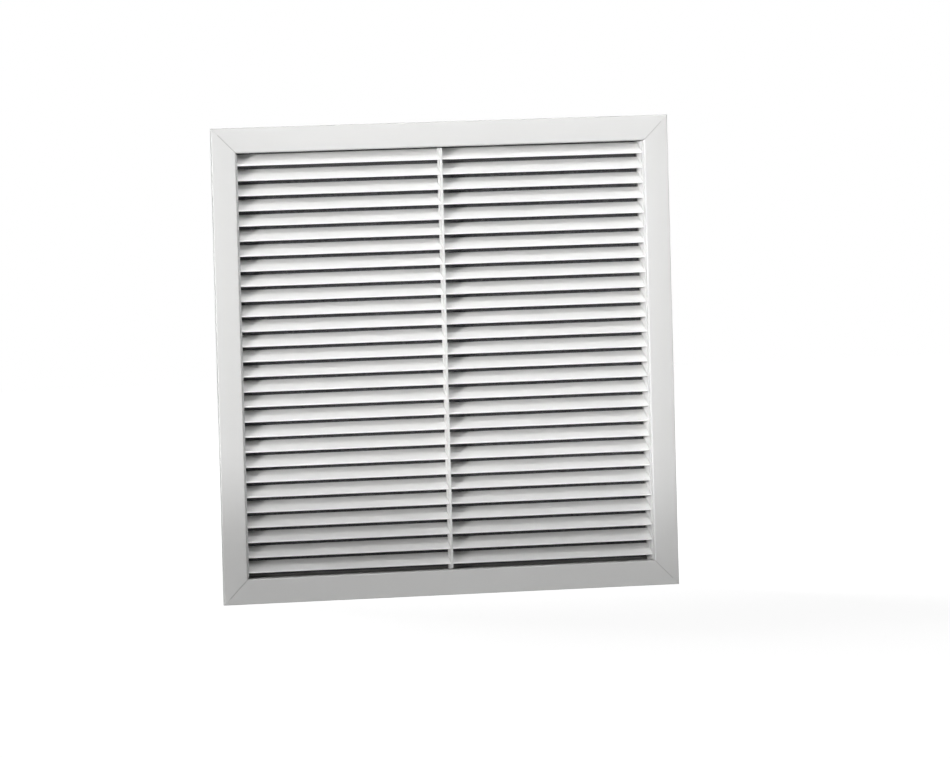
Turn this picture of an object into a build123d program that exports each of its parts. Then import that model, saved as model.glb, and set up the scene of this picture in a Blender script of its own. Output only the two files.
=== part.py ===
from build123d import *
from math import cos, radians, sin, sqrt
import os

# A return air filter grille: a mitred flange frame with a neck, and a bottom-hinged core that carries
# fixed sloping blades and, behind them, a filter. X runs to the right as the grille is looked at, the
# face looks to -Y, and Z is up. The origin is the centre of the opening, on the plane of the wall.
# All sizes are in millimetres. A depth is measured from the front of the flange towards the duct.

# Flange and neck, one aluminium extrusion
face_size = 600.0
flange_width = 32.0
flange_depth = 5.0
frame_wall = 1.4
neck_depth = 50.0
inner_roll_radius = 2.5
outer_edge_radius = 1.2
mitre_gap = 0.15
neck_lip = 3.5
opening_half = face_size / 2 - flange_width

# Key channel on the back of the flange, and the keys in it
channel_start = 8.0
channel_end = 23.0
channel_hook = 1.2
channel_lip = 2.7
channel_lip_wall = 1.0
key_play = 0.1
key_leg = 42.0

# Blades
blade_count = 28
blade_pitch = 19.0
first_nose_drop = 16.2
blade_angle = 34.0
blade_wall = 1.3
nose_radius = 1.1
nose_depth = 4.5
blade_back_depth = 24.8

# Comb rails and mullion
rail_wall = 1.5
rail_gap = 0.3
comb_front_depth = 3.0
rail_back_depth = 24.8
mullion_wall = 3.0
mullion_back_depth = 16.0
comb_top_gap = 1.2
slot_play = 0.05
staked_length = 1.4

# Hinge
pivot_radius = 4.0
pivot_clearance = 0.5
pin_radius = 1.25
pin_running_play = 0.06
bush_radius = 2.0
pin_head_radius = 3.0
pin_head_height = 1.2
pin_reach = 0.9

# Bar behind the first blade, with the rails' lugs
bar_wall = 1.5
bar_front_depth = 25.5
bar_low = 252.5
bar_high = 264.5
flap_length = 7.0
lug_high = 261.0
sheet_wall = 1.2
bend_radius = 1.0

# Filter and its channel
filter_side_play = 0.6
filter_top = 252.0
filter_thickness = 12.6
filter_wall = 0.8
filter_lip = 6.0
grid_thickness = 2.0
grid_bar = 2.5
grid_cells = 9
channel_front_lip = 2.8
channel_back_lip = 11.4
channel_play = 0.2
channel_flap = 4.5
foot_high = -256.0

# Turn tabs that hold the filter's upper edge
tab_x = 140.0
tab_z = 258.0
tab_width = 13.0
tab_reach = 25.0
tab_round = 5.8
tab_corner = 3.0
tab_wall = 1.2
tab_play = 0.15
tab_hole_play = 0.06
stud_radius = 4.0
stud_pin_radius = 2.0
stud_head_radius = 3.6
stud_head_height = 1.1
tab_clearance = 0.35
tab_grip = 3.0

# Magnet catches
magnet_x = 231.0
magnet_length = 32.0
magnet_height = 10.0
magnet_thickness = 6.0
strike_gap = 0.3
strike_length = 30.0
strike_foot = 10.0
strike_rivet_depth = 41.0

# Rivets and fixing holes
rivet_radius = 1.6
rivet_head_radius = 3.0
rivet_head_height = 0.8
fixing_hole_radius = 2.6
fixing_spacing = 300.0
fixing_depth = 31.0
cut_overshoot = 1.0

os.makedirs("parts", exist_ok=True)

# Sizes that follow from the ones above
slope = radians(blade_angle)
along = Vector(cos(slope), sin(slope))
across = Vector(-sin(slope), cos(slope))
rail_outer = opening_half - rail_gap
rail_inner = rail_outer - rail_wall
comb_top = opening_half - comb_top_gap
pivot_depth = comb_front_depth + pivot_radius
pivot_height = -opening_half + pivot_clearance + pivot_radius
comb_bottom = pivot_height - pivot_radius
bar_back_depth = bar_front_depth + bar_wall
channel_front_depth = bar_back_depth
filter_front_depth = channel_front_depth + sheet_wall
filter_back_depth = filter_front_depth + filter_thickness
channel_back_depth = filter_back_depth + channel_play + sheet_wall
filter_bottom = comb_bottom + sheet_wall
filter_half_width = rail_inner - filter_side_play
foot_back_depth = channel_back_depth - sheet_wall + channel_flap
bar_middle = (bar_low + bar_high) / 2


def y_at(depth):
    """The Y of a depth behind the flange's face."""
    return depth - flange_depth


def duct_plane(depth, x=0.0, z=0.0):
    """A plane that faces the duct, with its origin at a chosen point."""
    return Plane(origin=(x, y_at(depth), z), x_dir=(-1, 0, 0), z_dir=(0, 1, 0))


def nose_low(number):
    """Height of the lowest point of a blade's nose. Blade 1 is the top one."""
    return opening_half - first_nose_drop - blade_pitch * (number - 1)


def finish(part, name):
    """Labels a finished piece and writes its file."""
    part.label = name
    export_step(part, f"parts/{name}.step")


# Frame members
# One section serves all four sides. It is drawn with its first axis running inward from the flange's
# outer edge and its second axis running back, towards the duct. The neck ends in a lip turned inward,
# which stiffens it.
def frame_profile():
    front = y_at(0)
    back_of_face = front + frame_wall
    lip_front = -channel_lip_wall
    neck_outer = flange_width - frame_wall
    roll = inner_roll_radius
    inside_roll = roll - frame_wall
    with BuildSketch() as section:
        with BuildLine():
            Polyline((0, 0), (0, front + outer_edge_radius))
            RadiusArc((0, front + outer_edge_radius), (outer_edge_radius, front), outer_edge_radius)
            Line((outer_edge_radius, front), (flange_width - roll, front))
            RadiusArc((flange_width - roll, front), (flange_width, front + roll), roll)
            Polyline(
                (flange_width, front + roll),
                (flange_width, y_at(neck_depth - frame_wall)),
                (flange_width + neck_lip, y_at(neck_depth - frame_wall)),
                (flange_width + neck_lip, y_at(neck_depth)),
                (neck_outer, y_at(neck_depth)),
                (neck_outer, front + roll),
            )
            RadiusArc((neck_outer, front + roll), (neck_outer - inside_roll, back_of_face), -inside_roll)
            Polyline(
                (neck_outer - inside_roll, back_of_face),
                (channel_end, back_of_face),
                (channel_end, 0),
                (channel_end - channel_lip, 0),
                (channel_end - channel_lip, lip_front),
                (channel_end - channel_hook, lip_front),
                (channel_end - channel_hook, back_of_face),
                (channel_start + channel_hook, back_of_face),
                (channel_start + channel_hook, lip_front),
                (channel_start + channel_lip, lip_front),
                (channel_start + channel_lip, 0),
                (channel_start, 0),
                (channel_start, back_of_face),
                (frame_wall, back_of_face),
                (frame_wall, 0),
                (0, 0),
            )
        make_face()
    return section.sketch


def frame_member(corner, inward, run):
    """A mitred length that starts at a corner of the face and runs along one side."""
    start = Plane(origin=corner, x_dir=inward, z_dir=run)
    setback = mitre_gap / sqrt(2)
    far_corner = corner + run * face_size
    with BuildPart() as member:
        with BuildSketch(start):
            add(frame_profile())
        extrude(amount=face_size)
        split(bisect_by=Plane(origin=corner + run * setback, z_dir=run - inward), keep=Keep.TOP)
        split(bisect_by=Plane(origin=far_corner - run * setback, z_dir=-run - inward), keep=Keep.TOP)
    return member.part


half_face = face_size / 2
top_left = Vector(-half_face, 0, half_face)
top_right = Vector(half_face, 0, half_face)
bottom_right = Vector(half_face, 0, -half_face)
bottom_left = Vector(-half_face, 0, -half_face)
right = Vector(1, 0, 0)
up = Vector(0, 0, 1)

with BuildPart() as frame_top:
    add(frame_member(top_left, -up, right))
    with BuildSketch(Plane.XY.offset(opening_half - cut_overshoot)):
        with Locations((-magnet_x, y_at(strike_rivet_depth)), (magnet_x, y_at(strike_rivet_depth))):
            Circle(rivet_radius)
    extrude(amount=frame_wall + 2 * cut_overshoot, mode=Mode.SUBTRACT)
finish(frame_top.part, "frame_top")

with BuildPart() as frame_bottom:
    add(frame_member(bottom_right, up, -right))
finish(frame_bottom.part, "frame_bottom")


def side_member(corner, inward, run, side):
    """A side member with the hole of the hinge pin and two fixing holes through its neck."""
    with BuildPart() as member:
        add(frame_member(corner, inward, run))
        with BuildSketch(Plane.YZ.offset(side * (opening_half - cut_overshoot))):
            with Locations((y_at(pivot_depth), pivot_height)):
                Circle(pin_radius)
            with Locations((y_at(fixing_depth), 0)):
                with GridLocations(0, fixing_spacing, 1, 2):
                    Circle(fixing_hole_radius)
        extrude(amount=side * (frame_wall + 2 * cut_overshoot), mode=Mode.SUBTRACT)
    return member.part


frame_right = side_member(top_right, -right, -up, 1)
finish(frame_right, "frame_right")
frame_left = side_member(bottom_left, right, up, -1)
finish(frame_left, "frame_left")


# Corner keys
# Each key is an L of plate in the channels of two members, flat against the back of the face.
def corner_key(side_x, side_z):
    outer = half_face - channel_start - channel_hook - key_play
    inner = half_face - channel_end + channel_hook + key_play
    tip = half_face - key_leg
    thickness = flange_depth - frame_wall - channel_lip_wall - key_play
    corners = [(outer, outer), (outer, tip), (inner, tip), (inner, inner), (tip, inner), (tip, outer)]
    with BuildPart() as key:
        with BuildSketch(Plane.XZ.offset(-y_at(frame_wall))):
            Polygon(*[(side_x * x, side_z * z) for x, z in corners], align=None)
        extrude(amount=-thickness)
    return key.part


for number, (side_x, side_z) in enumerate([(-1, 1), (1, 1), (1, -1), (-1, -1)], start=1):
    finish(corner_key(side_x, side_z), f"corner_key_{number}")


# Blades
# A blade is a thin plate with a bead along its front edge. The plate's underside runs straight off
# the underside of the bead, and the bead stands above the plate.
def nose_centre(number):
    return Vector(y_at(nose_depth) + nose_radius, nose_low(number) + nose_radius)


def blade_profile(number):
    centre = nose_centre(number)
    under_front = centre - across * nose_radius
    plate_top = centre + across * (blade_wall - nose_radius)
    top_front = plate_top + along * sqrt(nose_radius**2 - (blade_wall - nose_radius) ** 2)
    top_back = plate_top + along * ((y_at(blade_back_depth) - plate_top.X) / cos(slope))
    under_back = top_back - across * blade_wall
    with BuildSketch() as section:
        with BuildLine():
            ThreePointArc(top_front, centre - along * nose_radius, under_front)
            Polyline(under_front, under_back, top_back, top_front)
        make_face()
    return section.sketch


for number in range(1, blade_count + 1):
    with BuildPart() as blade:
        with BuildSketch(Plane.YZ.offset(-rail_outer)):
            add(blade_profile(number))
        extrude(amount=2 * rail_outer)
    finish(blade.part, f"blade_{number:02d}")


# Comb slots
# A slot is open at the back of the comb and has a square end, wide enough for the bead to slide in.
# The blade rests on its lower flank, and the tooth above is staked down on the plate at the mouth.
def slot_profile(number, back_depth):
    centre = nose_centre(number)
    seat = centre - across * nose_radius
    roof = centre + across * (nose_radius + 2 * slot_play)
    stop = -along * (nose_radius + slot_play)
    plate_top = centre + across * (blade_wall - nose_radius + slot_play)
    mouth = (y_at(back_depth) - centre.X) / cos(slope)
    beyond = mouth + 2 * blade_wall
    with BuildSketch() as section:
        with BuildLine():
            Polyline(
                roof + stop,
                seat + stop,
                seat + along * beyond,
                plate_top + along * beyond,
                plate_top + along * (mouth - staked_length),
                roof + along * (mouth - 2 * staked_length),
                close=True,
            )
        make_face()
    return section.sketch


# The lower front corner of each comb is an arc about the hinge, so that it clears the throat as the
# core swings.
def comb_outline(back_edge):
    with BuildSketch() as section:
        with BuildLine():
            arc_start = (y_at(comb_front_depth), pivot_height)
            arc_end = (y_at(pivot_depth), comb_bottom)
            RadiusArc(arc_start, arc_end, -pivot_radius)
            Polyline(arc_end, *back_edge, (y_at(comb_front_depth), comb_top), arc_start)
        make_face()
    return section.sketch


# Mullion
with BuildPart() as mullion:
    with BuildSketch(Plane.YZ.offset(-mullion_wall / 2)):
        add(comb_outline([(y_at(mullion_back_depth), comb_bottom), (y_at(mullion_back_depth), comb_top)]))
        for number in range(1, blade_count + 1):
            add(slot_profile(number, mullion_back_depth), mode=Mode.SUBTRACT)
    extrude(amount=mullion_wall)
finish(mullion.part, "mullion")


# Rails
# A rail is the same comb in thinner sheet, with a foot that carries the filter channel, a lug that
# carries the bar behind the first blade, and a hole for the hinge bush.
rail_back_edge = [
    (y_at(foot_back_depth), comb_bottom),
    (y_at(foot_back_depth), foot_high),
    (y_at(rail_back_depth), foot_high),
    (y_at(rail_back_depth), bar_low),
    (y_at(bar_back_depth), bar_low),
    (y_at(bar_back_depth), lug_high),
    (y_at(rail_back_depth), lug_high),
    (y_at(rail_back_depth), comb_top),
]

for name, start in (("rail_left", -rail_outer), ("rail_right", rail_inner)):
    with BuildPart() as rail:
        with BuildSketch(Plane.YZ.offset(start)):
            add(comb_outline(rail_back_edge))
            for number in range(1, blade_count + 1):
                add(slot_profile(number, rail_back_depth), mode=Mode.SUBTRACT)
            with Locations((y_at(pivot_depth), pivot_height)):
                Circle(bush_radius, mode=Mode.SUBTRACT)
        extrude(amount=rail_wall)
    finish(rail.part, name)


# Hinge bushes and pins
# A bush is fixed in each rail and stands out a little, to keep the rail off the neck. A headed pin is
# pressed through each side of the neck from outside and runs in the bush.
for name, side in (("left", -1), ("right", 1)):
    with BuildPart() as bush:
        with BuildSketch(Plane.YZ.offset(side * rail_inner)):
            with Locations((y_at(pivot_depth), pivot_height)):
                Circle(bush_radius)
                Circle(pin_radius + pin_running_play, mode=Mode.SUBTRACT)
        extrude(amount=side * (rail_wall + rail_gap / 2))
    finish(bush.part, f"hinge_bush_{name}")

    with BuildPart() as pin:
        with BuildSketch(Plane.YZ.offset(side * (rail_inner - pin_reach))):
            with Locations((y_at(pivot_depth), pivot_height)):
                Circle(pin_radius)
        extrude(amount=side * (pin_reach + rail_wall + rail_gap + frame_wall))
        with BuildSketch(Plane.YZ.offset(side * (opening_half + frame_wall))):
            with Locations((y_at(pivot_depth), pivot_height)):
                Circle(pin_head_radius)
        extrude(amount=side * pin_head_height)
    finish(pin.part, f"hinge_pin_{name}")


# Bar behind the first blade
# A flat bar joins the rails' lugs, with a flap bent forward at each end and spot welded to the lug. It
# carries the magnets and the studs of the filter tabs.
with BuildPart() as top_bar:
    with BuildSketch(Plane.XZ.offset(-y_at(bar_front_depth))):
        with Locations((0, bar_middle)):
            Rectangle(2 * rail_inner, bar_high - bar_low)
        with Locations((-tab_x, tab_z), (tab_x, tab_z)):
            Circle(stud_pin_radius, mode=Mode.SUBTRACT)
    extrude(amount=-bar_wall)
    for side in (-1, 1):
        with BuildSketch(Plane.YZ.offset(side * rail_inner)):
            with Locations((y_at(bar_back_depth), bar_low)):
                Rectangle(flap_length + bar_wall, flap_length, align=(Align.MAX, Align.MIN))
        extrude(amount=-side * bar_wall)
    fillet(top_bar.edges().filter_by(Axis.Z).group_by(Axis.Y)[-1], bend_radius)
finish(top_bar.part, "top_bar")


# Filter channel
# A folded channel between the rails' feet, spot welded to them by a flap at each end, bent back. The
# filter's lower edge stands in it.
with BuildPart() as filter_channel:
    with BuildSketch(Plane.YZ.offset(-rail_inner)):
        with Locations((y_at(channel_front_depth), comb_bottom)):
            Rectangle(channel_back_depth - channel_front_depth, sheet_wall, align=Align.MIN)
            Rectangle(sheet_wall, channel_front_lip, align=Align.MIN)
        with Locations((y_at(channel_back_depth), comb_bottom)):
            Rectangle(sheet_wall, channel_back_lip, align=(Align.MAX, Align.MIN))
    extrude(amount=2 * rail_inner)
    for side in (-1, 1):
        with BuildSketch(Plane.YZ.offset(side * rail_inner)):
            with Locations((y_at(channel_back_depth) - sheet_wall, comb_bottom)):
                Rectangle(channel_flap, channel_back_lip, align=Align.MIN)
        extrude(amount=-side * sheet_wall)
    fillet(filter_channel.edges().filter_by(Axis.X).group_by(Axis.Z)[0], bend_radius)
finish(filter_channel.part, "filter_channel")


# Filter
# A folded channel frame holds a pad of washable media against a support grid on its back.
filter_height = filter_top - filter_bottom
filter_middle = (filter_top + filter_bottom) / 2
media_width = 2 * (filter_half_width - filter_wall)
media_height = filter_height - 2 * filter_wall
media_front = filter_front_depth + filter_wall
grid_front = filter_back_depth - filter_wall - grid_thickness

with BuildPart() as filter_frame:
    with BuildSketch(duct_plane(filter_front_depth, z=filter_middle)):
        Rectangle(2 * filter_half_width, filter_height)
        Rectangle(2 * (filter_half_width - filter_lip), filter_height - 2 * filter_lip, mode=Mode.SUBTRACT)
    extrude(amount=filter_thickness)
    with BuildSketch(duct_plane(media_front, z=filter_middle)):
        Rectangle(media_width, media_height)
    extrude(amount=filter_thickness - 2 * filter_wall, mode=Mode.SUBTRACT)
finish(filter_frame.part, "filter_frame")

with BuildPart() as filter_media:
    with BuildSketch(duct_plane(media_front, z=filter_middle)):
        Rectangle(media_width, media_height)
    extrude(amount=grid_front - media_front)
finish(filter_media.part, "filter_media")

with BuildPart() as filter_grid:
    with BuildSketch(duct_plane(grid_front, z=filter_middle)):
        Rectangle(media_width, media_height)
        cell_x = (media_width - grid_bar) / grid_cells
        cell_z = (media_height - grid_bar) / grid_cells
        with GridLocations(cell_x, cell_z, grid_cells, grid_cells):
            Rectangle(cell_x - grid_bar, cell_z - grid_bar, mode=Mode.SUBTRACT)
    extrude(amount=grid_thickness)
finish(filter_grid.part, "filter_grid")


# Filter tabs and their studs
# A hexagonal stud stands back from the bar past the filter's edge. Its shoulder and head hold the
# tab, which hangs over the filter's back edge until it is turned aside.
tab_front_depth = filter_back_depth + tab_clearance
tab_back_depth = tab_front_depth + tab_wall

for name, side in (("left", -1), ("right", 1)):
    x = side * tab_x
    with BuildPart() as stud:
        with BuildSketch(duct_plane(bar_front_depth, x, tab_z)):
            Circle(stud_pin_radius)
        extrude(amount=tab_back_depth + tab_play - bar_front_depth)
        with BuildSketch(duct_plane(bar_back_depth, x, tab_z)):
            RegularPolygon(stud_radius, 6)
        extrude(amount=tab_front_depth - tab_play - bar_back_depth)
        with BuildSketch(duct_plane(tab_back_depth + tab_play, x, tab_z)):
            Circle(stud_head_radius)
        extrude(amount=stud_head_height)
    finish(stud.part, f"tab_stud_{name}")

    with BuildPart() as tab:
        with BuildSketch(duct_plane(tab_front_depth, x, tab_z)) as tab_outline:
            with Locations((0, tab_width / 2)):
                Rectangle(tab_width, tab_reach + tab_width / 2, align=(Align.CENTER, Align.MAX))
            fillet(tab_outline.vertices().group_by(Axis.Y)[-1], tab_round)
            chamfer(tab_outline.vertices().group_by(Axis.Y)[0], tab_corner)
            Circle(stud_pin_radius + tab_hole_play, mode=Mode.SUBTRACT)
        extrude(amount=tab_wall)
        with BuildSketch(duct_plane(tab_back_depth, x, tab_z - tab_reach)):
            Rectangle(tab_width / 2, tab_wall, align=(Align.CENTER, Align.MIN))
        extrude(amount=tab_grip)
    finish(tab.part, f"filter_tab_{name}")


# Magnet catches
# A block magnet bonded to the back of the bar meets a steel angle under the neck's top wall.
magnet_back_depth = bar_back_depth + magnet_thickness
strike_depth = magnet_back_depth + strike_gap
magnet_low = bar_middle - magnet_height / 2

for name, side in (("left", -1), ("right", 1)):
    x = side * magnet_x
    with BuildPart() as magnet:
        with BuildSketch(duct_plane(bar_back_depth, x, bar_middle)):
            Rectangle(magnet_length, magnet_height)
        extrude(amount=magnet_thickness)
    finish(magnet.part, f"catch_magnet_{name}")

    with BuildPart() as strike:
        with BuildSketch(Plane.YZ.offset(x - strike_length / 2)) as angle:
            with Locations((y_at(strike_depth), opening_half)):
                Rectangle(sheet_wall, opening_half - magnet_low, align=(Align.MIN, Align.MAX))
                Rectangle(sheet_wall + strike_foot, sheet_wall, align=(Align.MIN, Align.MAX))
            outer_bend = angle.vertices().sort_by_distance((y_at(strike_depth), opening_half, 0))[0]
            fillet(outer_bend, bend_radius)
        extrude(amount=strike_length)
        with BuildSketch(Plane.XY.offset(opening_half - sheet_wall - cut_overshoot)):
            with Locations((x, y_at(strike_rivet_depth))):
                Circle(rivet_radius)
        extrude(amount=sheet_wall + 2 * cut_overshoot, mode=Mode.SUBTRACT)
    finish(strike.part, f"catch_strike_{name}")


# Strike rivets
# Each has its head under the strike's foot and is closed flush on the outside of the neck.
with BuildPart() as strike_rivets:
    for x in (-magnet_x, magnet_x):
        with Locations((x, y_at(strike_rivet_depth), opening_half - sheet_wall)):
            Cylinder(rivet_radius, sheet_wall + frame_wall, align=(Align.CENTER, Align.CENTER, Align.MIN))
            Cylinder(rivet_head_radius, rivet_head_height, align=(Align.CENTER, Align.CENTER, Align.MAX))
finish(strike_rivets.part, "strike_rivets")
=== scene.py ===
# %% [markdown]
# # A return air filter grille
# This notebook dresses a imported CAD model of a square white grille. The grille has a mitred flange,
# twenty-eight sloping blades, a comb in the middle and a filter behind. The CAD gives every place and
# size, so the work here is fine form, surface finish, light and camera. All lengths are in metres.

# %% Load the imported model
from math import cos, degrees, pi, radians, sin, sqrt

import bpy
from mathutils import Matrix, Vector, noise


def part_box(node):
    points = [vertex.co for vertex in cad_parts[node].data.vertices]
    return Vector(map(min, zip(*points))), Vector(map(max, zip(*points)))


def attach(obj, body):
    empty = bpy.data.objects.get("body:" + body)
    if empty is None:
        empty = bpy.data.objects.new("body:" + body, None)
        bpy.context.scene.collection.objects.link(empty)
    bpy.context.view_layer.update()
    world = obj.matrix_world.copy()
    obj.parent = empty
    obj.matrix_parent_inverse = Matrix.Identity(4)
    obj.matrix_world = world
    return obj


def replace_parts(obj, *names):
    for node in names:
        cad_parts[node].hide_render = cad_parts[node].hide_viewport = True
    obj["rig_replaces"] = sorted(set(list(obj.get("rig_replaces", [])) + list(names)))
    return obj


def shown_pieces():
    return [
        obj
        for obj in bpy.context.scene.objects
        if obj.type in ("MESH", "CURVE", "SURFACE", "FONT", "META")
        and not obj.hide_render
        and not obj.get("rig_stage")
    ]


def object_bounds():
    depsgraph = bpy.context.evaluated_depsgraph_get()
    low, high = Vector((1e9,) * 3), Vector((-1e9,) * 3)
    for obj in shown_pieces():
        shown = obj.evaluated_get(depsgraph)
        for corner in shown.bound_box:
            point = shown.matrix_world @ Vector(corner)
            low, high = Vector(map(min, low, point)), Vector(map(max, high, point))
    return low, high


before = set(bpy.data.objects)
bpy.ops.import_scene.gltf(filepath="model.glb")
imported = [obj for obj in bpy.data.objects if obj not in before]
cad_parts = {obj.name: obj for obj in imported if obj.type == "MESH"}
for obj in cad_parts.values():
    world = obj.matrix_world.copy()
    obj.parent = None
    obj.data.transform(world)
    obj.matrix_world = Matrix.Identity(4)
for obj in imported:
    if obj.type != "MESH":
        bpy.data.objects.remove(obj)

cad_low, cad_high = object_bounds()
scene = bpy.context.scene
print("CAD box", [round(v, 4) for v in cad_low], [round(v, 4) for v in cad_high])

# %% [markdown]
# ## Camera
# The photograph is flat and nearly without perspective, so it was taken from far off with a long lens.
# A camera could be placed by eye, but four corners of a true square fix it better: its direction, its
# slight roll and its distance come from fitting the face's four corners to the picture.

# %% Place the camera
MM = 0.001
PHOTO_WIDTH_PX = 950
FOCAL_PX = 8263
SENSOR_WIDTH = 36
CAMERA_YAW = radians(-15.961)
CAMERA_PITCH = radians(2.608)
CAMERA_ROLL = radians(-1.564)
CAMERA_DISTANCE = 10.483
CLIP_NEAR, CLIP_FAR = 0.1, 100
AIM = Vector((0.0373, 0, -0.0276))

back = Vector((
    sin(CAMERA_YAW) * cos(CAMERA_PITCH),
    -cos(CAMERA_YAW) * cos(CAMERA_PITCH),
    sin(CAMERA_PITCH),
))
level_right = (-back).cross(Vector((0, 0, 1))).normalized()
level_up = level_right.cross(-back)
right = cos(CAMERA_ROLL) * level_right + sin(CAMERA_ROLL) * level_up
up = cos(CAMERA_ROLL) * level_up - sin(CAMERA_ROLL) * level_right

lens = bpy.data.cameras.new("photo_lens")
lens.sensor_width = SENSOR_WIDTH
lens.lens = FOCAL_PX / PHOTO_WIDTH_PX * SENSOR_WIDTH
lens.clip_start, lens.clip_end = CLIP_NEAR, CLIP_FAR
camera = bpy.data.objects.new("photo_camera", lens)
scene.collection.objects.link(camera)
turn = Matrix((right, up, back)).transposed().to_4x4()
camera.matrix_world = Matrix.Translation(AIM + back * CAMERA_DISTANCE) @ turn
scene.camera = camera
print(f"lens {lens.lens:.1f} mm at {CAMERA_DISTANCE} m")

# %% [markdown]
# ## Room
# A product on white is lit by a bright, even room. The world can be one colour, but then a white
# background needs so much light that white paint burns out. So the world has two faces: the camera and
# mirror-like rays see pure white, and the rays that light the object see only a dim, cool glow.

# %% Give the world two faces
FILL_STRENGTH = 0.03
FILL_COLOR = (0.93, 0.96, 1.0, 1)

scene.view_settings.view_transform = "Standard"
world = bpy.data.worlds.new("white_room")
scene.world = world
world.use_nodes = True
nodes, links = world.node_tree.nodes, world.node_tree.links
nodes.clear()


def seen_directly(nodes, links):
    """One for the rays of the camera and of mirror images, and nothing for the rest."""
    ray = nodes.new("ShaderNodeLightPath")
    straight = nodes.new("ShaderNodeMath")
    straight.operation = "MAXIMUM"
    either = nodes.new("ShaderNodeMath")
    either.operation = "MAXIMUM"
    links.new(ray.outputs["Is Camera Ray"], straight.inputs[0])
    links.new(ray.outputs["Is Glossy Ray"], straight.inputs[1])
    links.new(straight.outputs[0], either.inputs[0])
    links.new(ray.outputs["Is Transmission Ray"], either.inputs[1])
    return either.outputs[0]


fill = nodes.new("ShaderNodeBackground")
fill.inputs["Color"].default_value = FILL_COLOR
fill.inputs["Strength"].default_value = FILL_STRENGTH
white = nodes.new("ShaderNodeBackground")
white.inputs["Color"].default_value = (1, 1, 1, 1)
white.inputs["Strength"].default_value = 1
choose = nodes.new("ShaderNodeMixShader")
links.new(seen_directly(nodes, links), choose.inputs["Fac"])
links.new(fill.outputs[0], choose.inputs[1])
links.new(white.outputs[0], choose.inputs[2])
links.new(choose.outputs[0], nodes.new("ShaderNodeOutputWorld").inputs["Surface"])
print("fill", FILL_STRENGTH)

# %% [markdown]
# ## Lamps
# The picture says where its lights were. The left lip and the middle comb throw crisp slanting shadows
# on every blade, so narrow light comes from low on the left, over fifty degrees to the side. The
# fronts of the blades are brighter than their backs, so soft light comes from in front and higher up.
# It all fades towards the lower edge, and the soft light a little towards the left. Lamps aimed at the
# middle wouldn't do that. Wide panels with a narrow spread do: their light ends where the panel ends.
# The last lamp stands behind the grille, for the views of its back.

# %% Hang the lamps
CRISP = radians(6)
SOFT = radians(24)
EVERY_WAY = pi


def soft_box(name, side, rise, distance, facing, size, power, spread):
    """A lamp at two angles from the front, in degrees, square to the point that it faces."""
    light = bpy.data.lights.new(name, "AREA")
    light.shape = "RECTANGLE"
    light.size, light.size_y = size
    light.energy = power
    light.spread = spread
    lamp = bpy.data.objects.new(name, light)
    scene.collection.objects.link(lamp)
    side, rise = radians(side), radians(rise)
    toward = Vector((-sin(side) * cos(rise), -cos(side) * cos(rise), sin(rise)))
    lamp.location = Vector(facing) + toward * distance
    lamp.rotation_euler = toward.to_track_quat("Z", "Y").to_euler()
    lamp.visible_camera = False
    print(name, "at", [round(v, 2) for v in lamp.location])


soft_box("left_lamp", 54, 5, 8.0, (0, 0, 0), (0.4, 0.4), 250, EVERY_WAY)
soft_box("left_panel", 54, 5, 2.0, (0.16, 0, 0.40), (1.4, 1.2), 3.3, CRISP)
soft_box("middle_panel", 0, 22, 2.0, (0.24, 0, 0.40), (1.4, 1.1), 1.35, SOFT)
soft_box("upper_panel", 0, 45, 2.0, (0.24, 0, 0.38), (1.4, 1.0), 1.95, SOFT)
soft_box("back_lamp", 160, 30, 4.0, (0, 0, 0), (1.5, 1.5), 110, EVERY_WAY)

# %% [markdown]
# ## Floor
# The grille stands on its lower edge on a pale floor. In the photograph nothing of the floor shows, so
# the camera has to see it almost white, with only a trace of the grille's shadow, and wholly white
# further off, so that no horizon shows. The floor lies a hair below the grille, so the two don't fight
# for the same pixels.

# %% Lay the floor
FLOOR_HALF = 6.0
FLOOR_DROP = 0.3 * MM

floor_z = cad_low.z - FLOOR_DROP
floor_mesh = bpy.data.meshes.new("pale_floor")
corners = [(-1, -1), (1, -1), (1, 1), (-1, 1)]
floor_mesh.from_pydata([(x * FLOOR_HALF, y * FLOOR_HALF, floor_z) for x, y in corners], [], [(0, 1, 2, 3)])
floor = bpy.data.objects.new("pale_floor", floor_mesh)
scene.collection.objects.link(floor)
floor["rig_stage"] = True
print("floor at", round(floor_z, 4))

# %% [markdown]
# ## Floor paint
# The floor has two faces as well. Rays that light the object meet plain pale paint. The camera sees a
# white glow, with a little grey paint under it, because only paint can show a shadow.

# %% Paint the floor
FLOOR_PALE = (0.78, 0.78, 0.78, 1)
SHADOW_TRACE = (0.22, 0.22, 0.22, 1)
GLOW_NEAR = 0.93
GLOW_FAR = 1.0
NEAR = 0.6
FAR = 2.6

paint = bpy.data.materials.new("floor_paint")
paint.use_nodes = True
nodes, links = paint.node_tree.nodes, paint.node_tree.links
nodes.clear()
pale = nodes.new("ShaderNodeBsdfDiffuse")
pale.inputs["Color"].default_value = FLOOR_PALE
trace = nodes.new("ShaderNodeBsdfDiffuse")
trace.inputs["Color"].default_value = SHADOW_TRACE
glow = nodes.new("ShaderNodeEmission")
away = nodes.new("ShaderNodeVectorMath")
away.operation = "LENGTH"
links.new(nodes.new("ShaderNodeTexCoord").outputs["Object"], away.inputs[0])
fade = nodes.new("ShaderNodeMapRange")
for socket, number in (("From Min", NEAR), ("From Max", FAR), ("To Min", GLOW_NEAR), ("To Max", GLOW_FAR)):
    fade.inputs[socket].default_value = number
links.new(away.outputs["Value"], fade.inputs["Value"])
links.new(fade.outputs[0], glow.inputs["Strength"])
shown = nodes.new("ShaderNodeAddShader")
links.new(trace.outputs[0], shown.inputs[0])
links.new(glow.outputs[0], shown.inputs[1])
choose = nodes.new("ShaderNodeMixShader")
links.new(seen_directly(nodes, links), choose.inputs["Fac"])
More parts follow.
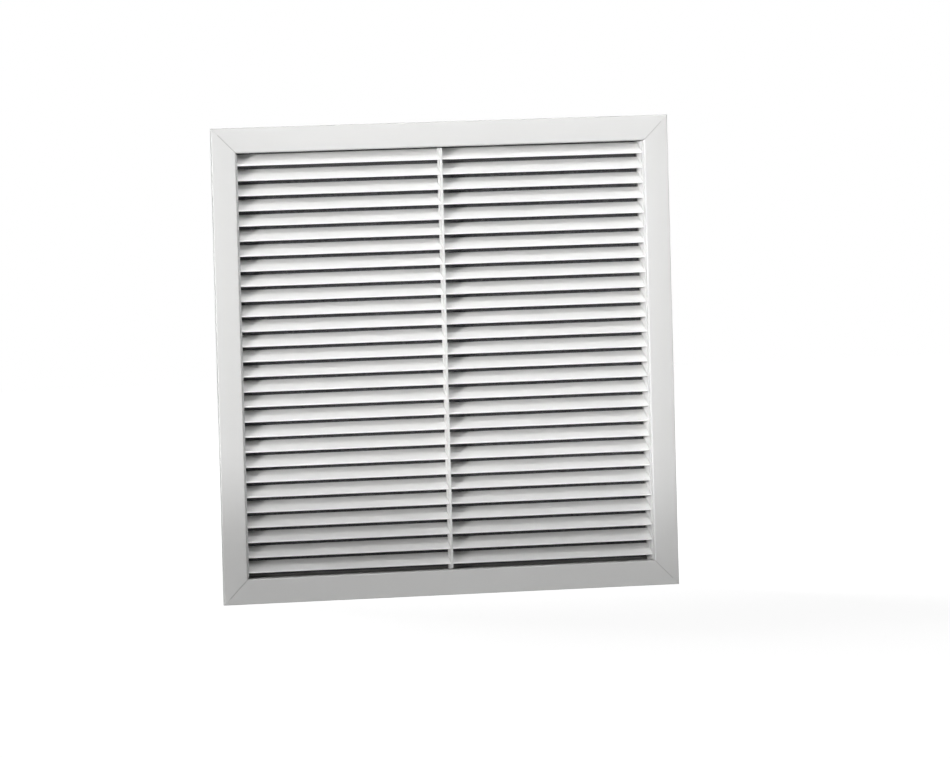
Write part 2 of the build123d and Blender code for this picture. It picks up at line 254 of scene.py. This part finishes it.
links.new(pale.outputs[0], choose.inputs[1])
links.new(shown.outputs[0], choose.inputs[2])
links.new(choose.outputs[0], nodes.new("ShaderNodeOutputMaterial").inputs["Surface"])
floor_mesh.materials.append(paint)
print("floor glow from", GLOW_NEAR, "to", GLOW_FAR)

# %% [markdown]
# ## Finishes
# Every finish starts the same way: one shader, and patterns that are measured in the object's own
# metres, so they stay put when the part moves. A small class keeps the wiring readable: it makes a
# noise, spreads its values between two numbers, and ends in a bump.

# %% A bench for mixing finishes
class Finish:
    """One material: its shader, its nodes and the wires between them."""

    def __init__(self, name):
        self.material = bpy.data.materials.new(name)
        self.material.use_nodes = True
        self.nodes = self.material.node_tree.nodes
        self.links = self.material.node_tree.links
        self.shader = self.nodes["Principled BSDF"]
        self.place = self.nodes.new("ShaderNodeTexCoord").outputs["Object"]

    def put(self, socket, value):
        """Sets a shader socket, or wires a pattern to it."""
        if hasattr(value, "is_linked"):
            self.links.new(value, self.shader.inputs[socket])
        else:
            self.shader.inputs[socket].default_value = value

    def stretched(self, scale):
        """Object coordinates, scaled along each axis."""
        mapping = self.nodes.new("ShaderNodeMapping")
        mapping.inputs["Scale"].default_value = scale
        self.links.new(self.place, mapping.inputs["Vector"])
        return mapping.outputs[0]

    def noise(self, scale, detail=2.0, where=None):
        """Soft noise with a given number of lumps to the metre."""
        pattern = self.nodes.new("ShaderNodeTexNoise")
        pattern.inputs["Scale"].default_value = scale
        pattern.inputs["Detail"].default_value = detail
        self.links.new(where or self.place, pattern.inputs["Vector"])
        return pattern.outputs["Fac"]

    def spread(self, value, low, high, start=0.3, end=0.7):
        """The pattern's values between start and end, spread from low to high."""
        ranged = self.nodes.new("ShaderNodeMapRange")
        for socket, number in (("From Min", start), ("From Max", end), ("To Min", low), ("To Max", high)):
            ranged.inputs[socket].default_value = number
        self.links.new(value, ranged.inputs["Value"])
        return ranged.outputs[0]

    def blend(self, value, first, second):
        """A colour that goes from first to second with the pattern."""
        mix = self.nodes.new("ShaderNodeMix")
        mix.data_type = "RGBA"
        for socket, color in (("A", first), ("B", second)):
            target = [s for s in mix.inputs if s.name == socket and s.type == "RGBA"][0]
            if hasattr(color, "is_linked"):
                self.links.new(color, target)
            else:
                target.default_value = (*color, 1)
        self.links.new(value, mix.inputs["Factor"])
        return [s for s in mix.outputs if s.type == "RGBA"][0]

    def math(self, operation, *values):
        """One step of arithmetic on patterns and numbers."""
        step = self.nodes.new("ShaderNodeMath")
        step.operation = operation
        for socket, value in zip(step.inputs, values):
            if hasattr(value, "is_linked"):
                self.links.new(value, socket)
            else:
                socket.default_value = value
        return step.outputs[0]

    def bump(self, height, depth, over=None):
        """A bump as deep as depth, on top of another bump if one is given."""
        node = self.nodes.new("ShaderNodeBump")
        node.inputs["Strength"].default_value = 1.0
        node.inputs["Distance"].default_value = depth
        self.links.new(height, node.inputs["Height"])
        if over:
            self.links.new(over, node.inputs["Normal"])
        self.put("Normal", node.outputs[0])
        return node.outputs[0]


# %% [markdown]
# ### Where dirt gathers and shade is painted
# A grille that has hung for a while is no longer evenly white. Dust settles in the mitres, and draws
# each joint as a hairline. Hands and the wall's own dust dull the outer edge. Inside the neck, towards
# the duct, the coat is painted nearly black as painted shade, deepest furthest back. All of it could be
# painted by hand, but a rule in distances from the middle of the face does it for all four sides at once.

# %% Find the places for dirt and painted shade
# The first four numbers paint shade inside the neck: a near-black that deepens behind the blades.
PAINTED_SHADE = (0.085, 0.083, 0.078)
SHADE_STARTS = 21 * MM
SHADE_ENDS = 41 * MM
SHADE_MOST = 0.95
NECK_MIDWALL = 268.7 * MM
MITRE_DUST = (0.47, 0.47, 0.46)
MITRE_LINE = 0.45 * MM
MITRE_FADE = 1.0 * MM
MITRE_STARTS = 292 * MM
EDGE_DULL = (0.43, 0.43, 0.425)
EDGE_STARTS = 299.6 * MM
EDGE_ENDS = 299.95 * MM


class DirtAndShade:
    """Where dirt gathers and shade is painted on a coat, measured from the middle of the face."""

    def __init__(self, coat):
        self.coat = coat
        place = coat.nodes.new("ShaderNodeSeparateXYZ")
        coat.links.new(coat.place, place.inputs[0])
        self.depth = place.outputs["Y"]
        self.aside = [coat.math("ABSOLUTE", place.outputs[axis]) for axis in ("X", "Z")]
        self.outmost = coat.math("MAXIMUM", *self.aside)

    def shade_in_neck(self, starts, ends):
        """Painted shade inside the neck: from nothing at one depth to the most at another."""
        within = self.coat.math("LESS_THAN", self.outmost, NECK_MIDWALL)
        deep = self.coat.spread(self.depth, 0.0, SHADE_MOST, start=starts, end=ends)
        return self.coat.math("MULTIPLY", within, deep)

    def on_edge(self):
        """One on the flange's outer sides, and nothing on its face."""
        return self.coat.spread(self.outmost, 0.0, 1.0, start=EDGE_STARTS, end=EDGE_ENDS)

    def in_mitres(self):
        """One along the face's diagonals, where two lengths meet, and nothing beside them."""
        off = self.coat.math("ABSOLUTE", self.coat.math("SUBTRACT", *self.aside))
        line = self.coat.spread(off, 1.0, 0.0, start=MITRE_LINE, end=MITRE_FADE)
        within = self.coat.math("LESS_THAN", self.outmost, MITRE_STARTS)
        outside = self.coat.math("GREATER_THAN", self.outmost, NECK_MIDWALL)
        return self.coat.math("MULTIPLY", line, self.coat.math("MULTIPLY", within, outside))


# %% [markdown]
# ### White powder coat
# Powder is sprayed on dry and melts into a tough skin. It never lies quite flat: it has an orange peel
# about a millimetre across, and its sheen is a little uneven. A plain white paint would show none of
# that. Faint extrusion lines run under the coat along each length, and fine dust dulls the surfaces
# that face up. The dirt and the painted shade come last, over the coat's own clouds. The whole grille
# is one white coat, but the flange is painted greyer than the blades, and the comb between them, as
# painted shade because they catch less light, so there are three whites.

# %% Mix the powder coat
# The flange's and the comb's whites are painted greyer than the blades' as painted shade; the real coat is
# the same white.
SHADED_COAT_WHITE = (0.62, 0.62, 0.615)
SHADED_COAT_DULL = (0.594, 0.589, 0.578)
BLADE_WHITE = (0.90, 0.90, 0.895)
BLADE_DULL = (0.842, 0.836, 0.82)
SHADED_COMB_WHITE = (0.70, 0.70, 0.695)
PEEL_PER_METRE = 900
PEEL_DEPTH = 0.03 * MM
DRAWN_DEPTH = 0.015 * MM
CLOUDS_PER_METRE = 7
CLOUDS_MOST = 0.35
DUST_PER_METRE = 160
DUST_LEAST = 0.2
DUST_MOST = 0.45
SHEEN_PER_METRE = 45
SMOOTHER, ROUGHER = 0.05, 0.06


def powder_coat(name, white, dull, roughness, drawn, starts=SHADE_STARTS, ends=SHADE_ENDS):
    """drawn stretches the extrusion lines: a small number along the length, large ones across."""
    coat = Finish(name)
    clouds = coat.noise(CLOUDS_PER_METRE, detail=4)
    facing = coat.nodes.new("ShaderNodeSeparateXYZ")
    normal = coat.nodes.new("ShaderNodeNewGeometry").outputs["Normal"]
    coat.links.new(normal, facing.inputs[0])
    settled = coat.spread(facing.outputs["Z"], 0.0, DUST_MOST, start=0.2, end=1.0)
    patches = coat.spread(coat.noise(DUST_PER_METRE, detail=6), DUST_LEAST, 1.0)
    cloudy = coat.blend(coat.spread(clouds, 0.0, CLOUDS_MOST), white, dull)
    dusty = coat.blend(coat.math("MULTIPLY", settled, patches), cloudy, dull)
    dirt_and_shade = DirtAndShade(coat)
    handled = coat.blend(dirt_and_shade.on_edge(), dusty, EDGE_DULL)
    jointed = coat.blend(dirt_and_shade.in_mitres(), handled, MITRE_DUST)
    # Painted shade: inside the neck the colour goes nearly black with depth.
    coat.put("Base Color", coat.blend(dirt_and_shade.shade_in_neck(starts, ends), jointed, PAINTED_SHADE))
    sheen = coat.noise(SHEEN_PER_METRE, detail=5)
    coat.put("Roughness", coat.spread(sheen, roughness - SMOOTHER, roughness + ROUGHER))
    coat.put("Specular IOR Level", 0.5)
    lines = coat.noise(1.0, detail=3, where=coat.stretched(drawn))
    first = coat.bump(lines, DRAWN_DEPTH)
    coat.bump(coat.noise(PEEL_PER_METRE, detail=1.5), PEEL_DEPTH, over=first)
    return coat.material


# The inner pieces behind the blades get the painted shade from 4 mm deep.
INNER_SHADE_STARTS = 4 * MM
ALONG_X = (3, 900, 900)
ALONG_Z = (900, 900, 3)
coat_level = powder_coat("powder_coat_level", SHADED_COAT_WHITE, SHADED_COAT_DULL, 0.40, ALONG_X)
coat_upright = powder_coat("powder_coat_upright", SHADED_COAT_WHITE, SHADED_COAT_DULL, 0.40, ALONG_Z)
coat_blade = powder_coat("powder_coat_blade", BLADE_WHITE, BLADE_DULL, 0.36, ALONG_X)
coat_comb = powder_coat("powder_coat_comb", SHADED_COMB_WHITE, SHADED_COAT_DULL, 0.38, ALONG_Z)
coat_inner_shaded = powder_coat(
    "powder_coat_inner_shaded", SHADED_COAT_WHITE, SHADED_COAT_DULL, 0.42, ALONG_X, INNER_SHADE_STARTS, SHADE_STARTS
)
print("powder coats mixed")

# %% [markdown]
# ### Bare metals
# Behind the face there is bare metal: sawn aluminium keys and zinc-plated steel. Zinc shows pale
# crystals and fine rub marks, and mill aluminium shows long drawn lines. A metal needs uneven
# roughness more than it needs colour, because that is what breaks up its reflections. The strikes sit
# in the shade under the neck's top wall, so their zinc is painted dark, as painted shade.

# %% Mix the metals
RUBBED_SMOOTH, RUBBED_ROUGH = 0.10, 0.14


def bare_metal(name, light, dark, roughness, grain, grain_depth, specks):
    """grain stretches the rub marks, and specks counts the crystals to the metre."""
    metal = Finish(name)
    rubbed = metal.noise(1.0, detail=4, where=metal.stretched(grain))
    crystals = metal.noise(specks, detail=3)
    metal.put("Metallic", 1.0)
    metal.put("Base Color", metal.blend(metal.spread(crystals, 0.0, 1.0), light, dark))
    metal.put("Roughness", metal.spread(rubbed, roughness - RUBBED_SMOOTH, roughness + RUBBED_ROUGH))
    metal.bump(rubbed, grain_depth)
    return metal.material


mill_aluminium = bare_metal(
    "mill_aluminium", (0.78, 0.79, 0.80), (0.66, 0.67, 0.69), 0.38, (40, 1500, 1500), 0.02 * MM, 120
)
zinc_sheet = bare_metal(
    "zinc_sheet", (0.70, 0.72, 0.74), (0.52, 0.54, 0.57), 0.36, (300, 300, 900), 0.012 * MM, 420
)
# The strikes' zinc is painted dark as painted shade.
shaded_zinc = bare_metal(
    "shaded_zinc", (0.30, 0.305, 0.31), (0.17, 0.175, 0.18), 0.55, (300, 300, 900), 0.012 * MM, 420
)
turned_steel = bare_metal(
    "turned_steel", (0.64, 0.64, 0.65), (0.50, 0.50, 0.52), 0.30, (1800, 1800, 1800), 0.01 * MM, 700
)
rivet_aluminium = bare_metal(
    "rivet_aluminium", (0.76, 0.77, 0.78), (0.62, 0.63, 0.64), 0.42, (1400, 1400, 1400), 0.02 * MM, 600
)
print("metals mixed")

# %% [markdown]
# ### Magnet, nylon and the filter's black grid
# A ferrite block is dark, dense and slightly grainy, like a biscuit. The hinge bushes are natural nylon,
# which lets a little light in. The filter's grid is steel with a matte black coat, coarser than the
# white one and rubbed grey on its high spots.

# %% Mix the dark and the milky finishes
GRAIN_SMOOTH, GRAIN_ROUGH = 0.08, 0.10


def grainy(name, light, dark, roughness, grains, depth):
    """A dull skin whose colour and bump follow its grains, with broader patches of roughness."""
    skin = Finish(name)
    pattern = skin.noise(grains, detail=5)
    skin.put("Base Color", skin.blend(skin.spread(pattern, 0.0, 1.0), dark, light))
    patches = skin.noise(grains / 4, detail=3)
    skin.put("Roughness", skin.spread(patches, roughness - GRAIN_SMOOTH, roughness + GRAIN_ROUGH))
    skin.bump(pattern, depth)
    return skin


ferrite = grainy("ferrite", (0.075, 0.075, 0.08), (0.035, 0.035, 0.038), 0.55, 1600, 0.05 * MM).material
grid_black = grainy("grid_black", (0.09, 0.09, 0.092), (0.03, 0.03, 0.032), 0.5, 900, 0.06 * MM).material
nylon = grainy("nylon", (0.80, 0.78, 0.72), (0.70, 0.68, 0.62), 0.42, 500, 0.02 * MM)
nylon.put("Subsurface Weight", 0.2)
nylon.put("Subsurface Radius", (2 * MM, 2 * MM, 1.5 * MM))
print("dark finishes mixed")

# %% [markdown]
# ### Filter fibre
# The pad is needled polyester fibre, a grey-black felt that scatters light. Woven cloth would have a
# regular pattern, and this has none: fibres lie every way, in clumps of a few millimetres with fine
# hairs across them. Two noises of different sizes and a little sheen give that.

# %% Mix the felt
FELT_LIGHT = (0.12, 0.121, 0.126)
FELT_DARK = (0.05, 0.05, 0.054)
CLUMPS_PER_METRE = 260
HAIRS_PER_METRE = (2600, 2600, 900)
CLUMP_DEPTH = 0.8 * MM
HAIR_DEPTH = 0.25 * MM

felt = Finish("filter_felt")
clumps = felt.noise(CLUMPS_PER_METRE, detail=6)
hairs = felt.noise(1.0, detail=8, where=felt.stretched(HAIRS_PER_METRE))
fibres = felt.spread(felt.math("MULTIPLY", clumps, hairs), 0.0, 1.0, start=0.12, end=0.4)
felt.put("Base Color", felt.blend(fibres, FELT_DARK, FELT_LIGHT))
felt.put("Roughness", felt.spread(hairs, 0.85, 1.0))
felt.put("Specular IOR Level", 0.2)
felt.put("Sheen Weight", 0.25)
felt.put("Sheen Roughness", 0.5)
lumpy = felt.bump(clumps, CLUMP_DEPTH)
felt.bump(hairs, HAIR_DEPTH, over=lumpy)
print("felt mixed")

# %% [markdown]
# ## Making pieces
# Extruded lengths are profiles pushed along a line. A curve with a bevel object would do, but plain mesh
# code keeps exact corners and lets each end be cut at its own angle. One helper turns points and faces
# into an object, marks sharp edges by angle, and ties it to its body, its finish and the CAD nodes it
# stands for.

# %% A helper for pieces
SHARP = radians(32)


def add_piece(name, points, faces, body, material, stands_for):
    """A mesh with its edges marked, tied to its body, its finish and the CAD nodes it stands for."""
    mesh = bpy.data.meshes.new(name)
    mesh.from_pydata([tuple(p) for p in points], [], faces)
    mesh.validate()
    mesh.shade_smooth()
    mesh.set_sharp_from_angle(angle=SHARP)
    mesh.materials.append(material)
    piece = bpy.data.objects.new(name, mesh)
    scene.collection.objects.link(piece)
    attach(piece, body)
    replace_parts(piece, *stands_for)
    return piece


def prism(starts, ends):
    """Points and faces of a profile swept from one end's points to the other's."""
    count = len(starts)
    faces = [(i, (i + 1) % count, count + (i + 1) % count, count + i) for i in range(count)]
    faces.append(tuple(reversed(range(count))))
    faces.append(tuple(range(count, 2 * count)))
    return list(starts) + list(ends), faces


def arc(centre, radius, first, last, steps):
    """Points of an arc between two angles in degrees."""
    turns = [radians(first + (last - first) * i / steps) for i in range(steps + 1)]
    return [(centre[0] + radius * cos(t), centre[1] + radius * sin(t)) for t in turns]


# %% [markdown]
# ## Flange and neck
# The frame is one aluminium extrusion, cut at forty-five degrees and keyed at the corners. Its mitres
# show as hairlines. The CAD already has the section, but its round edges are coarse facets, so each
# length is swept again with fine arcs. Each end is eased by a tenth of a millimetre, as powder rounds
# a sawn edge, and the dust that lies there is what the eye reads as a joint.

# %% Draw the frame's section
FACE_HALF = 300 * MM
FACE_Y = -5 * MM
WALL = 1.4 * MM
FLANGE_WIDTH = 32 * MM
NECK_BACK_Y = 45 * MM
NECK_LIP = 3.5 * MM
ROLL = 2.5 * MM
EDGE_ROUND = 1.2 * MM
CHANNEL = (8 * MM, 23 * MM)
HOOK = 1.2 * MM
HOOK_LIP = 2.7 * MM
LIP_WALL = 1.0 * MM
MITRE_SETBACK = 0.106 * MM
ARC_STEPS = 10


def frame_section():
    """Points of the section: distance in from the outer edge, and Y."""
    neck_in = FLANGE_WIDTH
    neck_out = FLANGE_WIDTH - WALL
    behind = FACE_Y + WALL
    near, far = CHANNEL
    points = [(0, 0)]
    points += arc((EDGE_ROUND, FACE_Y + EDGE_ROUND), EDGE_ROUND, 180, 270, ARC_STEPS)
    points += arc((neck_in - ROLL, FACE_Y + ROLL), ROLL, 270, 360, ARC_STEPS)
    points += [
        (neck_in, NECK_BACK_Y - WALL), (neck_in + NECK_LIP, NECK_BACK_Y - WALL),
        (neck_in + NECK_LIP, NECK_BACK_Y), (neck_out, NECK_BACK_Y),
    ]
    points += list(reversed(arc((neck_out - ROLL + WALL, FACE_Y + ROLL), ROLL - WALL, 270, 360, ARC_STEPS)))
    points += [
        (far, behind), (far, 0), (far - HOOK_LIP, 0), (far - HOOK_LIP, -LIP_WALL), (far - HOOK, -LIP_WALL),
        (far - HOOK, behind), (near + HOOK, behind), (near + HOOK, -LIP_WALL),
        (near + HOOK_LIP, -LIP_WALL), (near + HOOK_LIP, 0), (near, 0), (near, behind),
        (WALL, behind), (WALL, 0),
    ]
    return points


section = frame_section()
print("frame section has", len(section), "points")

# %% [markdown]
# ## Sweeping the four lengths
# A length runs from corner to corner, and the mitre makes the run shorter the further in a point of the
# section lies. Each end is drawn in two rings, so that the sawn edge is eased where two lengths meet.

# %% Sweep the frame
EASE = 0.12 * MM


def frame_length(name, corner, inward, run, material):
    """One length from its outer corner, with both mitres cut and eased."""
    count = len(section)
    points = []
    rings = ((False, 0, EASE), (False, EASE, 0), (True, EASE, 0), (True, 0, EASE))
    for at_far_end, from_end, sunk in rings:
        for inset, depth in section:
            along = inset + MITRE_SETBACK + from_end
            if at_far_end:
                along = 2 * FACE_HALF - along
            on_face = depth < FACE_Y + ROLL / 2
            y = depth + (sunk if on_face else 0)
            points.append(corner + inward * inset + run * along + Vector((0, y, 0)))
    faces = []
    for ring in range(len(rings) - 1):
        low, high = ring * count, (ring + 1) * count
        for i in range(count):
            j = (i + 1) % count
            faces.append((low + j, low + i, high + i, high + j))
    faces.append(tuple(range(count)))
    faces.append(tuple(reversed(range(len(points) - count, len(points)))))
    return add_piece(f"{name}_swept", points, faces, "frame", material, [name])


X, Z = Vector((1, 0, 0)), Vector((0, 0, 1))
lengths = [
    ("frame_top", Vector((-FACE_HALF, 0, FACE_HALF)), -Z, X, coat_level),
    ("frame_right", Vector((FACE_HALF, 0, FACE_HALF)), -X, -Z, coat_upright),
    ("frame_bottom", Vector((FACE_HALF, 0, -FACE_HALF)), Z, -X, coat_level),
    ("frame_left", Vector((-FACE_HALF, 0, -FACE_HALF)), X, Z, coat_upright),
]
swept = {}
for name, corner, inward, run, material in lengths:
    swept[name] = frame_length(name, corner, inward, run, material)
    print(name, [round(v, 3) for v in swept[name].dimensions])

# %% [markdown]
# ## Fixing holes
# Two screws go out through each side wall of the neck, once the core is swung open. A hole could be
# painted on, but then no light would come through it. A boolean cuts it through the wall, as a punch
# does, and the result replaces the mesh, so that no modifier is left.

# %% Punch the fixing holes
HOLE_RADIUS = 2.6 * MM
HOLE_Y = 26 * MM
HOLE_HALF_SPACING = 150 * MM
HOLE_STEPS = 32
PUNCH = 3 * MM


def punch_holes(piece, side):
    """Cuts two round holes through the neck's wall, on the left for -1 and on the right for 1."""
    points, faces = [], []
    for z in (-HOLE_HALF_SPACING, HOLE_HALF_SPACING):
        rim = arc((HOLE_Y, z), HOLE_RADIUS, 0, 360 - 360 / HOLE_STEPS, HOLE_STEPS - 1)
        near, far = (side * NECK_MIDWALL + reach for reach in (-PUNCH, PUNCH))
        pin, pin_faces = prism([(near, *place) for place in rim], [(far, *place) for place in rim])
        faces += [tuple(i + len(points) for i in face) for face in pin_faces]
        points += pin
    tool_mesh = bpy.data.meshes.new("punch")
    tool_mesh.from_pydata(points, [], faces)
    tool = bpy.data.objects.new("punch", tool_mesh)
    scene.collection.objects.link(tool)
    cut = piece.modifiers.new("fixing_holes", "BOOLEAN")
    cut.operation, cut.solver, cut.object = "DIFFERENCE", "EXACT", tool
    graph = bpy.context.evaluated_depsgraph_get()
    punched = bpy.data.meshes.new_from_object(piece.evaluated_get(graph))
    piece.modifiers.clear()
    piece.data = punched
    punched.shade_smooth()
    punched.set_sharp_from_angle(angle=SHARP)
    bpy.data.objects.remove(tool)
    print(piece.name, "has", len(punched.polygons), "faces")


punch_holes(swept["frame_left"], -1)
punch_holes(swept["frame_right"], 1)

# %% [markdown]
# ## Blades
# Each blade is a thin extruded plate with a round bead along its front edge, which stiffens it and
# catches the light as a bright line. Bending a flat strip would lose that bead. The section is drawn
# with a fine arc for the bead, a small root fillet above it, and softly rounded corners at the back.

# %% Draw the blade's section
BLADE_COUNT = 28
PITCH = 19 * MM
FIRST_NOSE_Z = 251.8 * MM
SLOPE = radians(34)
PLATE = 1.3 * MM
NOSE = 1.1 * MM
NOSE_FRONT_Y = -0.5 * MM
BLADE_BACK_Y = 19.8 * MM
BLADE_HALF = 267.7 * MM
ROOT = 0.5 * MM
NOSE_STEPS = 22
ROOT_STEPS = 5
BACK_CORNER = PLATE / 5
BACK_CUT = 0.3 * BACK_CORNER
along = Vector((cos(SLOPE), sin(SLOPE)))
across = Vector((-sin(SLOPE), cos(SLOPE)))


def blade_section(number):
    """Points of one blade's section, as Y and Z."""
    centre = Vector((NOSE_FRONT_Y + NOSE, FIRST_NOSE_Z - PITCH * (number - 1) + NOSE))
    top = centre + across * (PLATE - NOSE)
    reach = sqrt((NOSE + ROOT) ** 2 - (PLATE - NOSE + ROOT) ** 2)
    root_centre = top + along * reach + across * ROOT
    length = (BLADE_BACK_Y - top.x) / cos(SLOPE)
    back_top = top + along * length
    back_low = back_top - across * PLATE
    slope = degrees(SLOPE)
    touch = degrees((root_centre - centre).angle_signed(along))
    points = arc(centre, NOSE, slope + touch, slope + 270, NOSE_STEPS)
    points += [back_low - along * BACK_CORNER, back_low + (across - along) * BACK_CUT]
    points += [back_low + across * BACK_CORNER, back_top - across * BACK_CORNER]
    points += [back_top - (across + along) * BACK_CUT, back_top - along * BACK_CORNER]
    points += arc(root_centre, ROOT, slope - 90, slope - 180 + touch, ROOT_STEPS)
    return points


for number in range(1, BLADE_COUNT + 1):
    outline = blade_section(number)
    starts = [Vector((-BLADE_HALF, y, z)) for y, z in outline]
    ends = [Vector((BLADE_HALF, y, z)) for y, z in outline]
    points, faces = prism(starts, ends)
    node = f"blade_{number:02d}"
    piece = add_piece(f"{node}_drawn", points, faces, "core", coat_blade, [node])
print(BLADE_COUNT, "blades of", len(outline), "points;", [round(v, 4) for v in piece.dimensions])

# %% [markdown]
# ## Filter pad
# Behind the blades lies a pad of felt in a folded frame, held against a black grid. Felt that has been
# pushed against a grid swells a little through each opening and is pinched under each bar. A flat slab
# would look like a board, and a cloth simulation would take a minute for a millimetre of swelling. One
# function that knows how far a point is from the nearest bar gives the same form.

# %% Find how far the felt swells
media_low, media_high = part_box("filter_media")
NET = 170
GRID_CELLS = 9
GRID_BAR = 2.5 * MM
SWELL = 1.3 * MM
LOOSE = 0.35 * MM
PINCH = 0.15 * MM
LUMPS_PER_METRE = 130
BAR_SHADE = 0.02
FULLNESS = 1.9
ROUNDNESS = 0.6


def swell_at(x, z):
    """How far the felt stands out at a point, from nothing at a bar to the most in mid cell."""
    inside = 1.0
    for value, low, high in ((x, media_low.x, media_high.x), (z, media_low.z, media_high.z)):
        cell = (high - low - GRID_BAR) / GRID_CELLS
        part = ((value - low - GRID_BAR / 2) / cell) % 1.0
        clear = 0.5 * GRID_BAR / cell + BAR_SHADE
        open_part = max(0.0, min(part, 1 - part) - clear) / (0.5 - clear)
        inside *= min(1.0, open_part * FULLNESS) ** ROUNDNESS
    return inside


print("in mid cell", round(swell_at(0, (media_low.z + media_high.z) / 2), 2), "of", SWELL / MM, "mm")

# %% [markdown]
# ## Knitting the pad
# The back of the pad swells through the grid, and its front is only a little rough. Both are fine nets
# of points with the same rows and columns, so that one band of faces round the rim closes them. A
# little noise stands for the loose fibres, and it's nothing at the rim, where the frame holds them.

# %% Knit the pad
points, faces = [], []
for side, layer in (("back", 0.0), ("front", 1.0)):
    for row in range(NET + 1):
        for column in range(NET + 1):
            x = media_low.x + (media_high.x - media_low.x) * column / NET
            z = media_low.z + (media_high.z - media_low.z) * row / NET
            rim = min(column, row, NET - column, NET - row) == 0
            lumps = 0.0 if rim else noise.noise(Vector((x, layer, z)) * LUMPS_PER_METRE)
            if side == "back":
                y = media_high.y - PINCH + swell_at(x, z) * (SWELL + lumps * LOOSE)
            else:
                y = media_low.y + PINCH + abs(lumps) * LOOSE
            points.append((x, y, z))
row_step = NET + 1
back_count = row_step * row_step
for row in range(NET):
    for column in range(NET):
        a = row * row_step + column
        b, c, d = a + 1, a + row_step + 1, a + row_step
        faces.append((d, c, b, a))
        faces.append((back_count + a, back_count + b, back_count + c, back_count + d))
rim_loop = list(range(NET))
rim_loop += [row * row_step + NET for row in range(NET)]
rim_loop += [NET * row_step + column for column in range(NET, 0, -1)]
rim_loop += [row * row_step for row in range(NET, 0, -1)]
for i, a in enumerate(rim_loop):
    b = rim_loop[(i + 1) % len(rim_loop)]
    faces.append((a, b, back_count + b, back_count + a))
pad = add_piece("filter_felt_pad", points, faces, "core", felt.material, ["filter_media"])
print("felt pad", [round(v, 4) for v in pad.dimensions])

# %% [markdown]
# ## Finishes for the rest
# The other pieces keep their CAD form, because it is already right: punched combs, folded sheet, pins,
# studs and tabs. They only need their finish, given by name.

# %% Dress the CAD pieces
finishes = {
    "rail_left": coat_comb, "rail_right": coat_comb, "mullion": coat_comb,
    "top_bar": coat_inner_shaded, "filter_channel": coat_inner_shaded,
    "corner_key_1": mill_aluminium, "corner_key_2": mill_aluminium,
    "corner_key_3": mill_aluminium, "corner_key_4": mill_aluminium,
    "hinge_pin_left": turned_steel, "hinge_pin_right": turned_steel,
    "hinge_bush_left": nylon.material, "hinge_bush_right": nylon.material,
    "catch_strike_left": shaded_zinc, "catch_strike_right": shaded_zinc,
    "catch_magnet_left": ferrite, "catch_magnet_right": ferrite,
    "strike_rivets": rivet_aluminium,
    "filter_tab_left": zinc_sheet, "filter_tab_right": zinc_sheet,
    "tab_stud_left": turned_steel, "tab_stud_right": turned_steel,
    "filter_frame": grid_black, "filter_grid": grid_black,
}
for node, material in finishes.items():
    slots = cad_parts[node].data.materials
    slots.clear()
    slots.append(material)
replaced = {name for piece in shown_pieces() for name in piece.get("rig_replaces", [])}
undressed = sorted(set(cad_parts) - set(finishes) - replaced)
print("dressed", len(finishes), "CAD pieces; undressed:", undressed)
